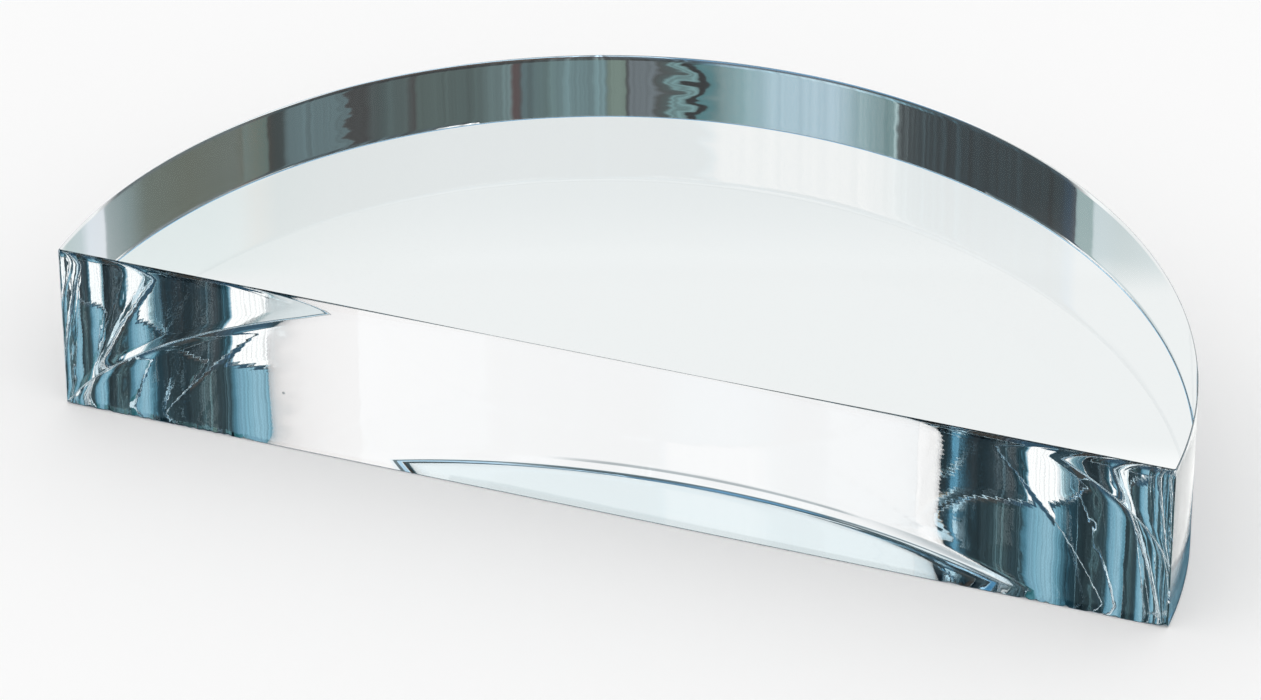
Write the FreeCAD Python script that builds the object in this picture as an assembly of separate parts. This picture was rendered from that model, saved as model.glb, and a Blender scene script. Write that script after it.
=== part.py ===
import FreeCAD, Part
import os

# Semicircular block for tracing rays of light through a curved surface: one piece
# of clear cast acrylic, turned as a disc, sawn through its centre and polished.
# Millimetres. +X runs along the flat face, +Y into the block, +Z up.
# The origin is the centre of the round wall's arc, at the foot of the flat face.

# The driving sizes
FLAT_FACE_LENGTH = 100.0  # the diameter of the disc
SHEET_THICKNESS = 15.9  # sheet sold as five eighths of an inch
RIM_BREAK = 0.2  # bevel on the two rims of the round wall
FLAT_EDGE_BREAK = 0.2  # bevel on the two long edges of the flat face
CORNER_BREAK = 0.15  # bevel down the two upright corners

# How far the shapes that trim the disc reach past it
CUTTER_OVERRUN = 5.0

RADIUS = FLAT_FACE_LENGTH / 2
ARC_CENTRE = FreeCAD.Vector(0, 0, 0)
UP = FreeCAD.Vector(0, 0, 1)
FULL_TURN = 360


def flat_outline(points):
    """A flat face with straight sides through the points, in order."""
    corners = [FreeCAD.Vector(*point) for point in points]
    return Part.Face(Part.makePolygon(corners + corners[:1]))


def turned_disc():
    """The whole disc with both rims bevelled, its profile revolved about the arc's centre.

    The profile stands on -Y, so the seam lies in the half that is sawn off."""
    profile = flat_outline([
        (0, 0, 0),
        (0, RIM_BREAK - RADIUS, 0),
        (0, -RADIUS, RIM_BREAK),
        (0, -RADIUS, SHEET_THICKNESS - RIM_BREAK),
        (0, RIM_BREAK - RADIUS, SHEET_THICKNESS),
        (0, 0, SHEET_THICKNESS),
    ])
    return profile.revolve(ARC_CENTRE, UP, FULL_TURN)


def half_behind_the_saw():
    """The space the flat face looks into, with both its long edges bevelled."""
    side = RADIUS + CUTTER_OVERRUN
    section = flat_outline([
        (-side, FLAT_EDGE_BREAK, 0),
        (-side, 0, FLAT_EDGE_BREAK),
        (-side, 0, SHEET_THICKNESS - FLAT_EDGE_BREAK),
        (-side, FLAT_EDGE_BREAK, SHEET_THICKNESS),
        (-side, side, SHEET_THICKNESS),
        (-side, side, 0),
    ])
    return section.extrude(FreeCAD.Vector(2 * side, 0, 0))


def space_between_corner_bevels():
    """The plan that takes a 45 degree bevel off each upright corner."""
    bevel_start = RADIUS - CORNER_BREAK
    bevel_reach = bevel_start + CUTTER_OVERRUN
    back = RADIUS + CUTTER_OVERRUN
    plan = flat_outline([
        (-bevel_start, 0, 0),
        (bevel_start, 0, 0),
        (bevel_reach, CUTTER_OVERRUN, 0),
        (bevel_reach, back, 0),
        (-bevel_reach, back, 0),
        (-bevel_reach, CUTTER_OVERRUN, 0),
    ])
    return plan.extrude(UP * SHEET_THICKNESS)


def acrylic_block():
    """The half disc with every edge broken."""
    sawn = turned_disc().common(half_behind_the_saw())
    return sawn.common(space_between_corner_bevels()).Solids[0]


def write_part(shape, node):
    """One STEP file for one separate piece."""
    shape.exportStep(os.path.join("parts", node + ".step"))


os.makedirs("parts", exist_ok=True)
write_part(acrylic_block(), "acrylic_block")
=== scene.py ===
import math

import bpy
import numpy as np
from mathutils import Matrix, Vector


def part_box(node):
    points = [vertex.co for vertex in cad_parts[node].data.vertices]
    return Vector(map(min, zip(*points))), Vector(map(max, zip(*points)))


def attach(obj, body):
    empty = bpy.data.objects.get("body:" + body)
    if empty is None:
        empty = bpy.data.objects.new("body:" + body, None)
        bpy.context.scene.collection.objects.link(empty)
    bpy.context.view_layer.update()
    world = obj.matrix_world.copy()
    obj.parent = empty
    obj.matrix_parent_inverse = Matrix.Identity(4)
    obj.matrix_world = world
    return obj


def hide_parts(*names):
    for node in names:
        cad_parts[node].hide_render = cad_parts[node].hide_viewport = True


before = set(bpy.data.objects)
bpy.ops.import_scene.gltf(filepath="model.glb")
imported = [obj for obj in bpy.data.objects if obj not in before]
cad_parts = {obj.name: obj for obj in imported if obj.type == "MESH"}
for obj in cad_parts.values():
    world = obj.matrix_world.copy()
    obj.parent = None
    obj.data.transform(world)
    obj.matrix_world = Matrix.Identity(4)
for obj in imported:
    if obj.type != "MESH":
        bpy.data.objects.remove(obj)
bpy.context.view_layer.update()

# Camera
# The block is seen from in front of its flat face, from the right and well above,
# through a long lens a short arm's length away, so its edges hardly converge.
camera_azimuth = math.radians(20.04)
camera_elevation = math.radians(33.31)
camera_roll = math.radians(-0.196)
camera_distance = 0.5518
camera_target = Vector((-0.0029, 0.0150, 0.0067))
camera_lens_mm = 181.6
camera_sensor_mm = 36.0

forward = Vector((
    -math.sin(camera_azimuth) * math.cos(camera_elevation),
    math.cos(camera_azimuth) * math.cos(camera_elevation),
    -math.sin(camera_elevation),
))
level_right = Vector((math.cos(camera_azimuth), math.sin(camera_azimuth), 0))
level_up = level_right.cross(forward)
camera_right = level_right * math.cos(camera_roll) + level_up * math.sin(camera_roll)
camera_up = level_up * math.cos(camera_roll) - level_right * math.sin(camera_roll)

camera_data = bpy.data.cameras.new("camera")
camera_data.lens = camera_lens_mm
camera_data.sensor_width = camera_sensor_mm
camera = bpy.data.objects.new("camera", camera_data)
facing = Matrix((camera_right, camera_up, -forward)).transposed()
camera.matrix_world = Matrix.Translation(camera_target - forward * camera_distance) @ facing.to_4x4()
bpy.context.scene.collection.objects.link(camera)
bpy.context.scene.camera = camera


# The block
# A half disc of clear cast acrylic, turned from thick sheet, sawn through the middle and
# polished on every face. Buffing has rounded its rims, and its lower front edge is nicked.
block_low, block_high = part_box("acrylic_block")
radius = block_high.y - block_low.y
thickness = block_high.z - block_low.z

# Roundings of the edges: each height is measured down or up the wall, each depth into the block
lower_rim_height, lower_rim_depth = 0.00010, 0.00010
upper_rim_height_at_ends, upper_rim_depth_at_ends = 0.0003, 0.00010
upper_rim_height_behind, upper_rim_depth_behind = 0.0014, 0.00034
lower_front_size = 0.00010
upper_front_height, upper_front_depth = 0.0011, 0.00014
corner_bevel = 0.00012

# The upper front rounding is this share of its size near the middle, and grows to all of it
upper_front_share_in_middle = 0.3
middle_half_width, middle_end = 0.010, 0.024

nick_seed, nick_count = 11, 70
nick_first, nick_reach, nick_crowding = 0.0006, 0.019, 1.3
nick_half_widths = (0.0002, 0.0007)
nick_heights = (0.00003, 0.00022)
right_chip_width, right_chip_height = 0.0010, 0.00045
left_chip_width, left_chip_height = 0.0007, 0.00025

arc_steps = 1000
flat_steps = 700
round_steps = 7
wall_steps = 16

# Painted shade on the rounded edges, blue at the foot of the round wall and dark on the rest, and how many
# steps of a rounding take it
rim_foot_painted_shade = (0.10, 0.36, 0.66)
rim_painted_shade = (0.03, 0.045, 0.05)
foot_steps, top_line_steps = 4, 2

# The share of the arc, from its right corner, where the lower rim meets the wall at a crisp line
crisp_from, crisp_to = 0.37, 0.685
sharp_angle = math.radians(25)


def bump(x, centre, half_width):
    """A raised cosine: 1 at the centre, falling to 0 at half_width on either side."""
    off = np.clip((x - centre) / half_width, -1, 1)
    return 0.5 + 0.5 * np.cos(np.pi * off)


def nicks(x):
    """How high the lower front edge is bitten away at each x.

    Each nick is a raised cosine. They crowd towards both ends, and each corner has a chip."""
    rng = np.random.default_rng(nick_seed)
    bitten = np.zeros_like(x)
    for _ in range(nick_count):
        side = rng.choice((-1, 1))
        centre = side * (radius - nick_first - nick_reach * rng.random() ** nick_crowding)
        half_width = rng.uniform(*nick_half_widths)
        height = rng.uniform(*nick_heights)
        bitten = np.maximum(bitten, height * bump(x, centre, half_width))
    bitten = np.maximum(bitten, right_chip_height * bump(x, radius, right_chip_width))
    return np.maximum(bitten, left_chip_height * bump(x, -radius, left_chip_width))


def block_rows():
    """Rows of points round the half disc's outline, stacked from the base to the top face.

    A row runs round the arc from the right corner and back along the flat face. Each edge is a
    quarter of an ellipse in section: its height times one minus a cosine, and its depth times
    one minus a sine, as the turn goes from 0 on the level face to a right angle on the wall.
    The upper rim grows from the corners to the back as the sine squared of the arc's angle."""
    turn = np.linspace(0, np.pi / 2, round_steps + 1)
    even = np.linspace(0, 1, wall_steps + 1)[1:-1]
    on_wall = np.zeros(len(even))
    on_rounding = np.zeros(round_steps + 1)
    lift = np.concatenate([1 - np.cos(turn), on_wall + 1, on_rounding + 1])
    climb = np.concatenate([on_rounding, even, on_rounding + 1])
    drop = np.concatenate([on_rounding + 1, on_wall + 1, 1 - np.cos(turn[::-1])])
    lower_cut = np.concatenate([1 - np.sin(turn), on_wall, on_rounding])
    upper_cut = np.concatenate([on_rounding, on_wall, 1 - np.sin(turn[::-1])])

    flat_span = np.linspace(-1, 1, flat_steps + 1)
    nicked = lower_front_size + nicks(flat_span * radius)
    past_middle = (np.abs(flat_span) * radius - middle_half_width) / (middle_end - middle_half_width)
    share = upper_front_share_in_middle + (1 - upper_front_share_in_middle) * np.clip(past_middle, 0, 1)
    front_height = upper_front_height * share
    front_depth = upper_front_depth * share
    behind = np.sin(np.linspace(0, np.pi, arc_steps + 1)) ** 2
    rim_height = upper_rim_height_at_ends + (upper_rim_height_behind - upper_rim_height_at_ends) * behind
    rim_depth = upper_rim_depth_at_ends + (upper_rim_depth_behind - upper_rim_depth_at_ends) * behind

    rows = []
    for up, along, down, low_in, high_in in zip(lift, climb, drop, lower_cut, upper_cut):
        arc_z = (lower_rim_height * up + (thickness - lower_rim_height - rim_height) * along
                 + rim_height * (1 - down))
        reach = radius - lower_rim_depth * low_in - rim_depth * high_in
        flat_z = (nicked * up + (thickness - nicked - front_height) * along
                  + front_height * (1 - down))
        flat_inset = nicked * low_in + front_depth * high_in
        first_angle = math.asin((corner_bevel + flat_inset[-1]) / reach[0])
        last_angle = math.pi - math.asin((corner_bevel + flat_inset[0]) / reach[-1])
        angles = np.linspace(first_angle, last_angle, arc_steps + 1)
        arc = np.stack([reach * np.cos(angles), reach * np.sin(angles), arc_z], axis=1)
        flat = np.stack([flat_span * (reach[0] - corner_bevel), flat_inset, flat_z], axis=1)
        rows.append(np.concatenate([arc, flat]))
    return np.array(rows)


def paint_edge_shade(mesh, levels, around):
    """Paint shade into the colour of each face of the rounded edges, as the attribute edge_painted_shade;
    the other faces are white.
    """
    wall_faces = (levels - 1) * around
    edge_shade = np.ones((len(mesh.polygons), 4), np.float32)
    walls_edge_shade = edge_shade[:wall_faces]
    on_arc = np.tile(np.arange(around) < arc_steps, levels - 1)
    level = np.repeat(np.arange(levels - 1), around)
    from_top = levels - 2 - level
    walls_edge_shade[on_arc & (level < foot_steps)] = (*rim_foot_painted_shade, 1)
    walls_edge_shade[on_arc & (level >= foot_steps) & (level < round_steps)] = (*rim_painted_shade, 1)
    walls_edge_shade[on_arc & (from_top < top_line_steps)] = (*rim_painted_shade, 1)
    walls_edge_shade[~on_arc & ((level < round_steps) | (from_top < top_line_steps))] = (*rim_painted_shade, 1)
    attribute = mesh.attributes.new("edge_painted_shade", "FLOAT_COLOR", "FACE")
    attribute.data.foreach_set("color", edge_shade.ravel())


def sharpen(mesh, levels, around):
    """Smooth the walls, but keep the corners, both faces' outlines and the crisp line sharp."""
    mesh.shade_smooth()
    mesh.set_sharp_from_angle(angle=sharp_angle)
    ends = np.zeros(len(mesh.edges) * 2, np.int32)
    mesh.edges.foreach_get("vertices", ends)
    level, step = np.divmod(ends.reshape(-1, 2), around)
    place = step / arc_steps
    sharp = np.zeros(len(mesh.edges), bool)
    mesh.attributes["sharp_edge"].data.foreach_get("value", sharp)
    sharp |= (level == 0).all(axis=1) | (level == levels - 1).all(axis=1)
    sharp |= ((level == round_steps) & (place > crisp_from) & (place < crisp_to)).all(axis=1)
    mesh.attributes["sharp_edge"].data.foreach_set("value", sharp)


def block_mesh():
    """The stacked rows joined by four-sided faces, with one flat face over each end."""
    rows = block_rows()
    levels, around = rows.shape[:2]
    step = np.arange(around)
    after = (step + 1) % around
    row = np.arange(levels - 1)[:, None] * around
    walls = np.stack([row + step, row + after, row + after + around, row + step + around], axis=-1)
    base = step[::-1].tolist()
    top = ((levels - 1) * around + step).tolist()
    mesh = bpy.data.meshes.new("clear_block")
    mesh.from_pydata(rows.reshape(-1, 3).tolist(), [], walls.reshape(-1, 4).tolist() + [base, top])
    paint_edge_shade(mesh, levels, around)
    sharpen(mesh, levels, around)
    return mesh


block = bpy.data.objects.new("clear_block", block_mesh())
bpy.context.scene.collection.objects.link(block)

refractive_index = 1.507
absorption_density = 10.0
absorption_colour = (0.68, 0.82, 0.875, 1)

# Ripples of the round wall: widths and rises in metres, slopes as a tilt of the surface. A rough
# patch is an angle round the arc, a half width along it and the slope that it adds
wall_margin = 0.00002
wave_width, wave_rise, wave_slope = 0.0060, 0.0026, 0.0015
streak_width, streak_rise, streak_slope = 0.0007, 0.0240, 0.0016
feed_pitch, feed_slope = 0.00045, 0.0009
rough_patches = ((math.radians(101.5), 0.0038, 0.030), (math.radians(137.3), 0.0024, 0.018))

dust_spacing, dust_size = 0.0060, 0.00016
dust_share = 0.30
dust_colour = (0.16, 0.19, 0.20, 1)


def calculate(tree, operation, *values):
    """The output of a math node whose inputs are numbers or other nodes' outputs."""
    node = tree.nodes.new("ShaderNodeMath")
    node.operation = operation
    for socket, value in zip(node.inputs, values):
        if isinstance(value, (int, float)):
            socket.default_value = value
        else:
            tree.links.new(value, socket)
    return node.outputs[0]


def fade(tree, value, start, end):
    """0 at start and before it, 1 at end and past it, an S between; end may be the lower one."""
    node = tree.nodes.new("ShaderNodeMapRange")
    node.interpolation_type = "SMOOTHSTEP"
    tree.links.new(value, node.inputs["Value"])
    node.inputs["From Min"].default_value = start
    node.inputs["From Max"].default_value = end
    return node.outputs["Result"]


def wall_noise(tree, along_arc, z, width, rise):
    """Noise from about -1 to 1 on the unrolled wall, with swells of this width and rise.

    The texture mostly runs from 0.25 to 0.75, so it is taken four times, less 2."""
    unrolled = tree.nodes.new("ShaderNodeCombineXYZ")
    tree.links.new(calculate(tree, "DIVIDE", along_arc, width), unrolled.inputs["X"])
    tree.links.new(calculate(tree, "DIVIDE", z, rise), unrolled.inputs["Y"])
    texture = tree.nodes.new("ShaderNodeTexNoise")
    texture.noise_dimensions = "2D"
    texture.inputs["Scale"].default_value = 1.0
    tree.links.new(unrolled.outputs[0], texture.inputs["Vector"])
    return calculate(tree, "SUBTRACT", calculate(tree, "MULTIPLY", texture.outputs["Fac"], 4), 2)


def rippled_normal(tree, place):
    """The normal, tilted on the round wall as turning and buffing have left it.

    Along the arc it tilts by broad waves, which grow in the rough patches, and by upright
    streaks, both of them noise. Up the wall it tilts by a sine, one turn for each feed mark."""
    split = tree.nodes.new("ShaderNodeSeparateXYZ")
    tree.links.new(place, split.inputs[0])
    x, y, z = split.outputs
    squares = calculate(tree, "ADD", calculate(tree, "MULTIPLY", x, x), calculate(tree, "MULTIPLY", y, y))
    from_axis = calculate(tree, "SQRT", squares)
    on_wall = calculate(tree, "GREATER_THAN", from_axis, radius - wall_margin)
    along_arc = calculate(tree, "MULTIPLY", calculate(tree, "ARCTAN2", y, x), radius)

    slope = wave_slope
    for angle, half_width, added in rough_patches:
        away = calculate(tree, "ABSOLUTE", calculate(tree, "SUBTRACT", along_arc, angle * radius))
        patch = fade(tree, away, half_width, 0.0)
        slope = calculate(tree, "ADD", calculate(tree, "MULTIPLY", patch, added), slope)
    waves = wall_noise(tree, along_arc, z, wave_width, wave_rise)
    streaks = wall_noise(tree, along_arc, z, streak_width, streak_rise)
    lean = calculate(tree, "ADD", calculate(tree, "MULTIPLY", waves, slope),
                     calculate(tree, "MULTIPLY", streaks, streak_slope))
    lean = calculate(tree, "MULTIPLY", lean, on_wall)
    feed = calculate(tree, "SINE", calculate(tree, "MULTIPLY", z, 2 * math.pi / feed_pitch))
    feed = calculate(tree, "MULTIPLY", calculate(tree, "MULTIPLY", feed, feed_slope), on_wall)

    tilt = tree.nodes.new("ShaderNodeCombineXYZ")
    tilt_x = calculate(tree, "MULTIPLY", calculate(tree, "MULTIPLY", y, lean), -1 / radius)
    tilt_y = calculate(tree, "MULTIPLY", calculate(tree, "MULTIPLY", x, lean), 1 / radius)
    for socket, value in zip(tilt.inputs, (tilt_x, tilt_y, feed)):
        tree.links.new(value, socket)
    turned = tree.nodes.new("ShaderNodeVectorTransform")
    turned.vector_type = "VECTOR"
    turned.convert_from = "OBJECT"
    turned.convert_to = "WORLD"
    tree.links.new(tilt.outputs[0], turned.inputs[0])
    tilted = tree.nodes.new("ShaderNodeVectorMath")
    tree.links.new(tree.nodes.new("ShaderNodeNewGeometry").outputs["Normal"], tilted.inputs[0])
    tree.links.new(turned.outputs[0], tilted.inputs[1])
    unit = tree.nodes.new("ShaderNodeVectorMath")
    unit.operation = "NORMALIZE"
    tree.links.new(tilted.outputs[0], unit.inputs[0])
    return unit.outputs[0]


def grains_of_dust(tree, place):
    """1 on a grain of dust and 0 beside it: a dot in a share of the cells of a Voronoi texture."""
    cells = tree.nodes.new("ShaderNodeTexVoronoi")
    cells.inputs["Scale"].default_value = 1 / dust_spacing
    tree.links.new(place, cells.inputs["Vector"])
    lot = tree.nodes.new("ShaderNodeSeparateColor")
    tree.links.new(cells.outputs["Color"], lot.inputs[0])
    reach = calculate(tree, "MULTIPLY", lot.outputs["Green"], dust_size / dust_spacing)
    within = calculate(tree, "LESS_THAN", cells.outputs["Distance"], reach)
    chosen = calculate(tree, "LESS_THAN", lot.outputs["Red"], dust_share)
    return calculate(tree, "MULTIPLY", within, chosen)


def blend(tree, share, first, second):
    """The first colour where share is 0, and the second where it is 1."""
    node = tree.nodes.new("ShaderNodeMix")
    node.data_type = "RGBA"
    tree.links.new(share, node.inputs["Factor"])
    for socket, colour in ((node.inputs[6], first), (node.inputs[7], second)):
        if isinstance(colour, tuple):
            socket.default_value = (*colour[:3], 1)
        else:
            tree.links.new(colour, socket)
    return node.outputs[2]


acrylic = bpy.data.materials.new("clear_acrylic")
acrylic.use_nodes = True
tree = acrylic.node_tree
surface = tree.nodes["Principled BSDF"]
surface.inputs["Roughness"].default_value = 0.0
surface.inputs["IOR"].default_value = refractive_index
surface.inputs["Transmission Weight"].default_value = 1.0
block_place = tree.nodes.new("ShaderNodeTexCoord").outputs["Object"]
tree.links.new(rippled_normal(tree, block_place), surface.inputs["Normal"])
# The rounded edges' painted shade, with grains of dust over it, as the acrylic's base colour
edge = tree.nodes.new("ShaderNodeAttribute")
edge.attribute_name = "edge_painted_shade"
dust_and_painted_shade = blend(tree, grains_of_dust(tree, block_place), edge.outputs["Color"], dust_colour)
tree.links.new(dust_and_painted_shade, surface.inputs["Base Color"])
absorption = tree.nodes.new("ShaderNodeVolumeAbsorption")
absorption.inputs["Color"].default_value = absorption_colour
absorption.inputs["Density"].default_value = absorption_density
tree.links.new(absorption.outputs["Volume"], tree.nodes["Material Output"].inputs["Volume"])
block.data.materials.append(acrylic)

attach(block, "root")
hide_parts("acrylic_block")


# Floor
# A plain pale sheet under the block. It takes the block's soft shadow, and is left out
# of what the block refracts, so that the block shows the studio all round it.
floor_half = 6.0
floor_colour = (0.97, 0.97, 0.97, 1)

floor_mesh = bpy.data.meshes.new("floor")
floor_corners = [
    (-floor_half, -floor_half, 0), (floor_half, -floor_half, 0),
    (floor_half, floor_half, 0), (-floor_half, floor_half, 0),
]
floor_mesh.from_pydata(floor_corners, [], [(0, 1, 2, 3)])
floor = bpy.data.objects.new("floor", floor_mesh)
bpy.context.scene.collection.objects.link(floor)
floor.visible_transmission = False
floor.visible_glossy = False

paper = bpy.data.materials.new("floor_paper")
paper.use_nodes = True
matt = paper.node_tree.nodes["Principled BSDF"]
matt.inputs["Base Color"].default_value = floor_colour
matt.inputs["Roughness"].default_value = 1.0
matt.inputs["Specular IOR Level"].default_value = 0.0
floor_mesh.materials.append(paper)


# Contact shade
# The dark strip of table close under the round wall, where little light reaches.
# Only the polished wall mirrors it: the camera and the light inside the block pass it by.
shade_width = 0.0060
shade_full_width, shade_fade_width = 0.0007, 0.0016
shade_lift = 0.00002
shade_past_corners = math.radians(4)
shade_steps = 96
shade_colour = (0.05, 0.15, 0.22, 1)

shade_angles = np.linspace(-shade_past_corners, math.pi + shade_past_corners, shade_steps + 1)
shade_points = [
    (reach * math.cos(angle), reach * math.sin(angle), shade_lift)
    for reach in (radius, radius + shade_width)
    for angle in shade_angles
]
shade_faces = [(i, i + shade_steps + 1, i + shade_steps + 2, i + 1) for i in range(shade_steps)]
shade_mesh = bpy.data.meshes.new("contact_shade")
shade_mesh.from_pydata(shade_points, [], shade_faces)
shade = bpy.data.objects.new("contact_shade", shade_mesh)
bpy.context.scene.collection.objects.link(shade)
shade.visible_camera = False
shade.visible_diffuse = False
shade.visible_transmission = False
shade.visible_shadow = False

shade_paint = bpy.data.materials.new("contact_shade")
shade_paint.use_nodes = True
tree = shade_paint.node_tree
matt = tree.nodes["Principled BSDF"]
matt.inputs["Base Color"].default_value = shade_colour
matt.inputs["Roughness"].default_value = 1.0
from_centre = tree.nodes.new("ShaderNodeVectorMath")
from_centre.operation = "LENGTH"
tree.links.new(tree.nodes.new("ShaderNodeTexCoord").outputs["Object"], from_centre.inputs[0])
full_to = radius + shade_full_width
shade_cover = fade(tree, from_centre.outputs["Value"], full_to + shade_fade_width, full_to)
tree.links.new(shade_cover, matt.inputs["Alpha"])
shade_mesh.materials.append(shade_paint)


# Studio
# White and dark cards and lamps all round the block, as a panorama that only the block bends
# and mirrors. The camera and the floor see plain white in its place.
world = bpy.data.worlds.new("studio")
bpy.context.scene.world = world
world.use_nodes = True
studio = world.node_tree
studio.nodes.clear()

# The azimuth is 0 behind the block, 90 to the right, -90 to the left and 180 at the camera's side.
# Azimuths and elevations are in degrees, and each pair of them is where a change starts and ends
looked_at = studio.nodes.new("ShaderNodeTexCoord")
split = studio.nodes.new("ShaderNodeSeparateXYZ")
studio.links.new(looked_at.outputs["Generated"], split.inputs[0])
azimuth = calculate(studio, "DEGREES", calculate(studio, "ARCTAN2", split.outputs["X"], split.outputs["Y"]))
elevation = calculate(studio, "DEGREES", calculate(studio, "ARCSINE", split.outputs["Z"]))


def between(value, opening, closing):
    """1 between two fades and 0 outside them; each fade is a pair of where it starts and ends."""
    not_past = calculate(studio, "SUBTRACT", 1.0, fade(studio, value, *closing))
    return calculate(studio, "MULTIPLY", fade(studio, value, *opening), not_past)


def row_of_cards(stops):
    """Colour along the azimuth, straight from stop to stop; each stop is an azimuth and a colour."""
    first, last = stops[0][0], stops[-1][0]
    place = studio.nodes.new("ShaderNodeMapRange")
    studio.links.new(azimuth, place.inputs["Value"])
    place.inputs["From Min"].default_value = first
    place.inputs["From Max"].default_value = last
    ramp = studio.nodes.new("ShaderNodeValToRGB")
    elements = ramp.color_ramp.elements
    elements[0].position, elements[0].color = 0.0, (*stops[0][1], 1)
    elements[1].position, elements[1].color = 1.0, (*stops[-1][1], 1)
    for stop, colour in stops[1:-1]:
        elements.new((stop - first) / (last - first)).color = (*colour, 1)
    studio.links.new(place.outputs["Result"], ramp.inputs["Fac"])
    return ramp.outputs["Color"]


white = (1.0, 1.0, 1.0)
table_white = (0.87, 0.89, 0.885)
band_white = (0.90, 0.92, 0.915)
near_white = (1.00, 1.01, 1.00)
back_white = (1.15, 1.07, 1.04)
wall_grey = (0.55, 0.55, 0.55)
dark_room = (0.04, 0.06, 0.07)
seam_half_width = 0.01
on_right = fade(studio, azimuth, -seam_half_width, seam_half_width)
from_behind = calculate(studio, "ABSOLUTE", azimuth)

# Far down: straight below, the white table behind and the dark room in front, and a blue ring round them
table_edge, ring_edge, ring_span = (90, 100), (-76, -72), (-60, 60)
ring_left, ring_right = (0.12, 0.32, 0.52), (0.55, 0.75, 0.90)
straight_below = blend(studio, fade(studio, from_behind, *table_edge), table_white, dark_room)
blue_ring = blend(studio, fade(studio, azimuth, *ring_span), ring_left, ring_right)
deep = blend(studio, fade(studio, elevation, *ring_edge), straight_below, blue_ring)

# Steeply down, as the rounded edges show it
steep = row_of_cards([
    (-180, (0.045, 0.095, 0.14)), (-150, (0.045, 0.095, 0.14)), (-142, (0.03, 0.05, 0.06)),
    (-95, (0.03, 0.05, 0.06)), (-80, near_white), (90, near_white),
    (98, (0.07, 0.05, 0.04)), (150, (0.07, 0.05, 0.04)), (180, (0.045, 0.095, 0.14)),
])

# Down, as the flat face shows it
front_low_left = row_of_cards([
    (-180, (0.06, 0.13, 0.16)), (-177, (0.12, 0.28, 0.36)), (-172, (0.28, 0.47, 0.56)),
    (-166, (0.31, 0.53, 0.62)), (-158, (0.42, 0.62, 0.70)), (-150, (0.42, 0.62, 0.70)),
    (-142, (0.22, 0.42, 0.50)), (-134, (0.06, 0.15, 0.19)), (-128, (0.008, 0.032, 0.045)),
    (-100, (0.008, 0.028, 0.038)), (-93, (0.03, 0.05, 0.06)), (-86, near_white), (-80, near_white),
])
front_low_right = row_of_cards([
    (40, near_white), (48, (0.05, 0.08, 0.09)), (90, (0.03, 0.06, 0.07)), (106, (0.012, 0.022, 0.026)),
    (134, (0.006, 0.010, 0.012)), (139, (0.026, 0.036, 0.038)), (143.5, (0.016, 0.022, 0.023)),
    (148, (0.034, 0.05, 0.052)), (152, (0.06, 0.09, 0.093)), (156, (0.066, 0.10, 0.10)),
    (160, (0.066, 0.094, 0.093)), (164, (0.048, 0.062, 0.06)), (168, (0.026, 0.034, 0.036)),
    (172, (0.026, 0.042, 0.046)), (178, (0.04, 0.066, 0.074)), (180, (0.06, 0.13, 0.16)),
])
front_low = blend(studio, on_right, front_low_left, front_low_right)
far_table_foot, far_table_left, far_table_right = (-34.3, -34.0), (-82, -78), (36, 40)
far_table = calculate(studio, "MULTIPLY", fade(studio, elevation, *far_table_foot),
                      between(azimuth, far_table_left, far_table_right))
front_low = blend(studio, far_table, front_low, table_white)

# Down, as the band of the round wall shows it. A row takes 32 stops at most, so the right side has two
band_join = 112
band_left = row_of_cards([
    (-180, (0.0, 0.0, 0.0)), (-179.4, (0.05, 0.16, 0.17)), (-177, (0.03, 0.15, 0.165)),
    (-172, (0.125, 0.307, 0.342)), (-165, (0.31, 0.50, 0.59)), (-153, (0.335, 0.514, 0.607)),
    (-147, (0.165, 0.325, 0.36)), (-140, (0.08, 0.19, 0.197)), (-139.2, (0.315, 0.45, 0.46)),
    (-138.6, (0.0, 0.01, 0.015)), (-98, (0.0, 0.008, 0.01)), (-97, (0.0, 0.01, 0.015)),
    (-92.3, (0.0, 0.01, 0.015)), (-91.7, (0.26, 0.38, 0.38)), (-86.6, (0.26, 0.38, 0.38)),
    (-86, (0.56, 0.66, 0.68)), (-75, (0.60, 0.68, 0.68)), (-45, (0.72, 0.79, 0.80)),
    (-32, (0.79, 0.85, 0.84)), (-24.6, (0.79, 0.85, 0.84)), (-23.4, (0.865, 0.89, 0.88)), (-22, band_white),
])
band_side = row_of_cards([
    (20, band_white), (26, band_white), (30, (0.45, 0.56, 0.56)), (36, (0.50, 0.60, 0.62)),
    (39, (0.72, 0.78, 0.83)), (44.3, (0.74, 0.78, 0.82)), (45.3, (0.28, 0.35, 0.36)),
    (52, (0.15, 0.22, 0.22)), (58, (0.055, 0.085, 0.06)), (70, (0.042, 0.06, 0.03)),
    (83.6, (0.05, 0.075, 0.055)), (84.6, (0.07, 0.13, 0.12)), (89.9, (0.07, 0.13, 0.12)),
    (90.4, (0.01, 0.02, 0.02)), (93.6, (0.02, 0.035, 0.035)), (95, (0.098, 0.158, 0.17)),
    (107.7, (0.098, 0.158, 0.17)), (108.3, (0.032, 0.035, 0.035)), (band_join, (0.028, 0.032, 0.032)),
])
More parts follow.
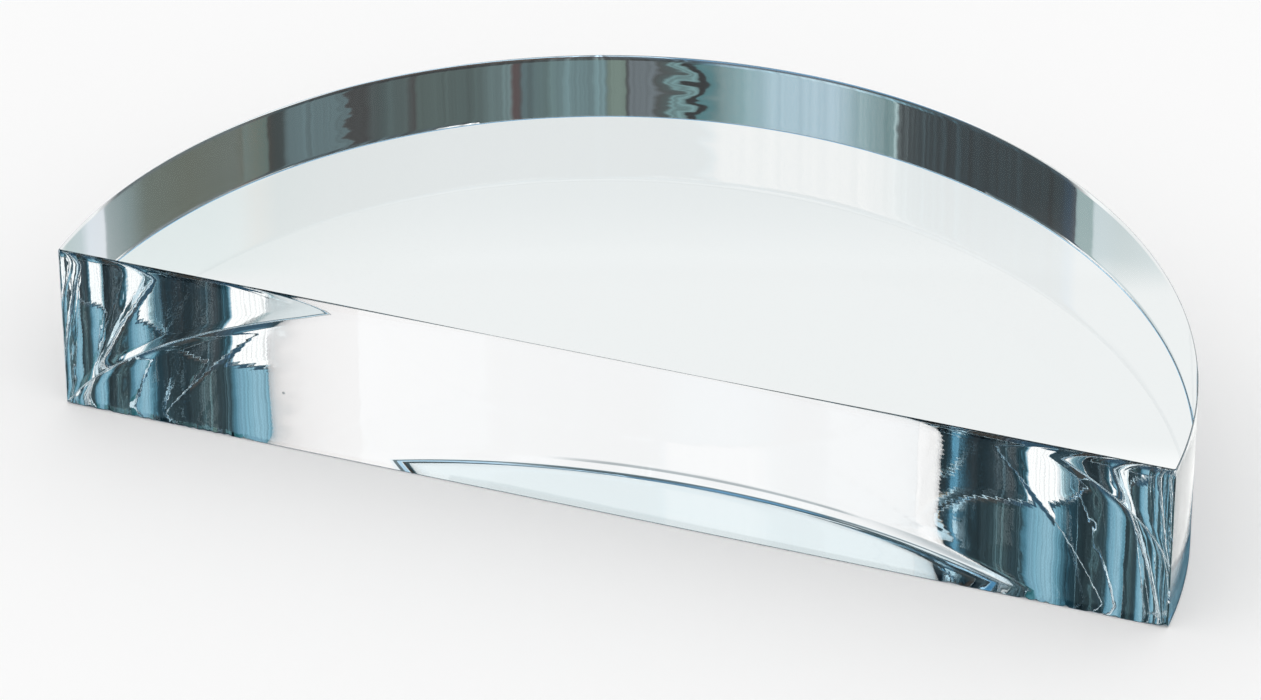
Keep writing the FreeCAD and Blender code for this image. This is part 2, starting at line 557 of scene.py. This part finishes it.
band_front = row_of_cards([
    (band_join, (0.03, 0.034, 0.034)), (116, (0.053, 0.088, 0.088)), (120.5, (0.058, 0.09, 0.088)),
    (122.2, (0.045, 0.048, 0.048)), (123, (0.064, 0.10, 0.093)), (135, (0.06, 0.098, 0.095)),
    (141.5, (0.138, 0.216, 0.221)), (142.6, (0.075, 0.045, 0.045)), (143.6, (0.068, 0.048, 0.048)),
    (144.3, (0.07, 0.12, 0.13)), (149.5, (0.10, 0.17, 0.17)), (153, (0.134, 0.225, 0.238)),
    (160.7, (0.134, 0.225, 0.238)), (161.3, (0.165, 0.235, 0.20)), (164.5, (0.165, 0.235, 0.20)),
    (165, (0.03, 0.036, 0.036)), (165.8, (0.128, 0.158, 0.175)), (170, (0.128, 0.158, 0.175)),
    (171, (0.05, 0.06, 0.06)), (173, (0.06, 0.09, 0.09)), (174.2, (0.138, 0.25, 0.255)),
    (177.6, (0.138, 0.25, 0.255)), (178.6, (0.0, 0.0, 0.0)), (180, (0.0, 0.0, 0.0)),
])
past_join = fade(studio, azimuth, band_join - seam_half_width, band_join + seam_half_width)
band_right = blend(studio, past_join, band_side, band_front)
band = blend(studio, on_right, band_left, band_right)

# Level, where dark flags and a grey card stand between white cards, some with a dark skirt
flag = (0.05, 0.08, 0.09)
far_flag = (0.10, 0.14, 0.16)
grey_card = (0.58, 0.63, 0.64)
level_cards = row_of_cards([
    (-180, white), (-170, white), (-166, flag), (-152, flag), (-148, white), (-124, white), (-120, flag),
    (-102, flag), (-98, white), (-77, white), (-73, far_flag), (-57, far_flag), (-53, white),
    (53, white), (57, far_flag), (73, far_flag), (80, grey_card), (97, grey_card), (102, flag), (128, flag),
    (131, white), (148, white), (152, flag), (166, flag), (170, white), (180, white),
])
skirt_top, skirt_left, skirt_right = (-20.5, -19), (73, 77), (141, 144)
skirted_cards = blend(studio, fade(studio, elevation, *skirt_top), flag, level_cards)
level = blend(studio, between(azimuth, skirt_left, skirt_right), level_cards, skirted_cards)

# Up, as the flat face shows it
front_high_left = row_of_cards([
    (-180, (0.06, 0.16, 0.20)), (-178.3, (0.40, 0.60, 0.70)), (-176.5, (1.70, 1.40, 1.28)),
    (-147, (1.70, 1.40, 1.28)), (-142, (1.40, 1.20, 1.13)), (-138, (0.60, 0.70, 0.70)),
    (-133, (0.22, 0.33, 0.36)), (-125, (0.12, 0.21, 0.25)), (-97, (0.12, 0.21, 0.25)),
    (-94, (0.20, 0.50, 0.85)), (-91, back_white), (-80, back_white),
])
front_high_right = row_of_cards([
    (35, back_white), (55, white), (82, white), (87, (0.80, 0.42, 0.20)), (92, (0.02, 0.04, 0.05)),
    (106, (0.012, 0.028, 0.038)), (116, (0.014, 0.017, 0.020)), (128, (0.020, 0.018, 0.019)),
    (132, (0.004, 0.006, 0.008)), (141, (0.004, 0.006, 0.008)), (146, (0.018, 0.020, 0.022)),
    (152, (0.030, 0.034, 0.037)), (160, (0.042, 0.062, 0.070)), (167, (0.056, 0.050, 0.050)),
    (172, (0.014, 0.030, 0.036)), (178, (0.022, 0.062, 0.080)), (180, (0.06, 0.16, 0.20)),
])
front_high = blend(studio, on_right, front_high_left, front_high_right)

# The wall behind, between the level cards and the upper ones, with a grey strip over the block
wall_left, wall_right = (-85, -75), (-45, -25)
strip_foot, strip_left, strip_right = (30.0, 30.6), (-32, -28), (-12, -8)
back_wall = blend(studio, between(azimuth, wall_left, wall_right), front_high, wall_grey)
strip = calculate(studio, "MULTIPLY", between(azimuth, strip_left, strip_right),
                  fade(studio, elevation, *strip_foot))
back_wall = blend(studio, strip, back_wall, wall_grey)

# The rows stacked from the floor up, each with the elevations where it takes over from the one below
band_foot, band_top = (-32.65, -32.45), (-28.5, -26.5)
colour = deep
for takes_over, row in (
    ((-57, -54), steep),
    ((-38.5, -36.5), front_low),
    (band_foot, band),
    (band_top, level),
    ((19, 21), back_wall),
    ((31.8, 32.8), front_high),
):
    colour = blend(studio, fade(studio, elevation, *takes_over), colour, row)

# The dark cards are draped cloth with upright folds, deeper past the window and faint in the band
fold_width, fold_detail, fold_roughness = 2.2, 3.0, 0.7
window_fold_depth, cloth_fold_depth = 1.5, 4.5
cloth_edge, window_edge = (92, 100), (-150, -130)
band_calm = 0.75
in_band = between(elevation, band_foot, band_top)
cloth = fade(studio, from_behind, *cloth_edge)
fold_depth = calculate(studio, "MULTIPLY", fade(studio, azimuth, *window_edge), cloth_fold_depth)
fold_depth = calculate(studio, "ADD", fold_depth, window_fold_depth)
fold_depth = calculate(studio, "MULTIPLY", cloth, fold_depth)
calm = calculate(studio, "SUBTRACT", 1.0, calculate(studio, "MULTIPLY", in_band, band_calm))
fold_depth = calculate(studio, "MULTIPLY", fold_depth, calm)
folds = studio.nodes.new("ShaderNodeTexNoise")
folds.noise_dimensions = "1D"
folds.inputs["Scale"].default_value = 1 / fold_width
folds.inputs["Detail"].default_value = fold_detail
folds.inputs["Roughness"].default_value = fold_roughness
studio.links.new(azimuth, folds.inputs["W"])
fold = calculate(studio, "MULTIPLY", calculate(studio, "SUBTRACT", folds.outputs["Fac"], 0.5), fold_depth)
draped = studio.nodes.new("ShaderNodeVectorMath")
draped.operation = "SCALE"
studio.links.new(colour, draped.inputs[0])
studio.links.new(calculate(studio, "POWER", 2.0, fold), draped.inputs["Scale"])
lamps_foot = (54, 62)
panorama = blend(studio, fade(studio, elevation, *lamps_foot), draped.outputs[0], white)

seen = studio.nodes.new("ShaderNodeBackground")
studio.links.new(panorama, seen.inputs["Color"])
plain = studio.nodes.new("ShaderNodeBackground")
plain.inputs["Color"].default_value = (*white, 1)
ray = studio.nodes.new("ShaderNodeLightPath")
glossy, through = ray.outputs["Is Glossy Ray"], ray.outputs["Is Transmission Ray"]
choice = studio.nodes.new("ShaderNodeMixShader")
studio.links.new(calculate(studio, "MAXIMUM", glossy, through), choice.inputs["Fac"])
studio.links.new(plain.outputs[0], choice.inputs[1])
studio.links.new(seen.outputs[0], choice.inputs[2])
out = studio.nodes.new("ShaderNodeOutputWorld")
studio.links.new(choice.outputs[0], out.inputs["Surface"])


# Rendering
# Light turns back inside the block many times before it leaves, so a path may take many turns.
# The colours go to the picture as they are, with no film look.
turns_of_light = 32
scene = bpy.context.scene
scene.view_settings.view_transform = "Standard"
scene.cycles.max_bounces = turns_of_light
scene.cycles.glossy_bounces = turns_of_light
scene.cycles.transmission_bounces = turns_of_light
